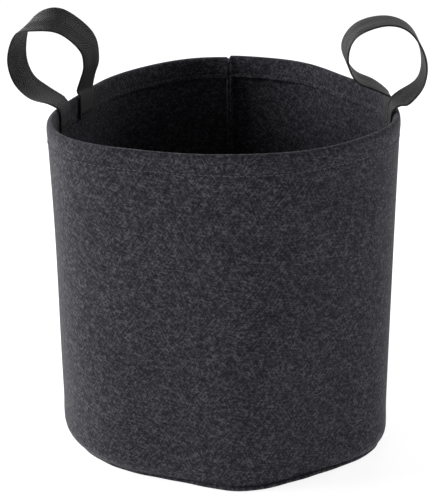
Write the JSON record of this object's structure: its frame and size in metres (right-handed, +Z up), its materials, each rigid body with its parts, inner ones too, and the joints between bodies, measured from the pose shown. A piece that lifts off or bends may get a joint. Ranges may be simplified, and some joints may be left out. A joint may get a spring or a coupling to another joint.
{
  "type": "fabric grow bag",
  "caption": "Round felt planting bag, open at the top, with a folded and stitched rim and two webbing loop handles standing up at opposite sides.",
  "frame": {"origin": "on the floor, at the middle of the base panel's underside", "axes": "+Z up out of the bag's mouth, +X to the right of the bag seen from the side opposite its seam, -Y out of that front side"},
  "size_m": [0.3577, 0.3117, 0.3725],
  "materials": {
    "felt": "matte needled felt, charcoal",
    "webbing": "woven webbing, black, slight sheen",
    "thread": "polyester sewing thread"
  },
  "bodies": {
    "bag": {"side_wall": "felt", "base_panel": "felt", "hem_stitching": "thread", "base_seam_stitching": "thread", "side_seam_stitching": "thread", "left_handle_front_tail": "webbing", "left_handle_front_bar_tack": "thread", "left_handle_rear_tail": "webbing", "left_handle_rear_bar_tack": "thread", "right_handle_front_tail": "webbing", "right_handle_front_bar_tack": "thread", "right_handle_rear_tail": "webbing", "right_handle_rear_bar_tack": "thread"},
    "left_handle": {"left_handle_loop": "webbing"},
    "right_handle": {"right_handle_loop": "webbing"}
  },
  "joints": [
    {"name": "left_handle_flop", "type": "hinge", "parent": "bag", "child": "left_handle", "pos_m": [-0.131, 0.023, 0.2965], "axis": [-0.5015, -0.8652, 0], "range_deg": [-65, 80], "stiffness_Nm_per_rad": 0.02},
    {"name": "right_handle_flop", "type": "hinge", "parent": "bag", "child": "right_handle", "pos_m": [0.145, -0.0085, 0.2965], "axis": [-0.0732, 0.9973, 0], "range_deg": [-50, 65], "stiffness_Nm_per_rad": 0.02}
  ]
}
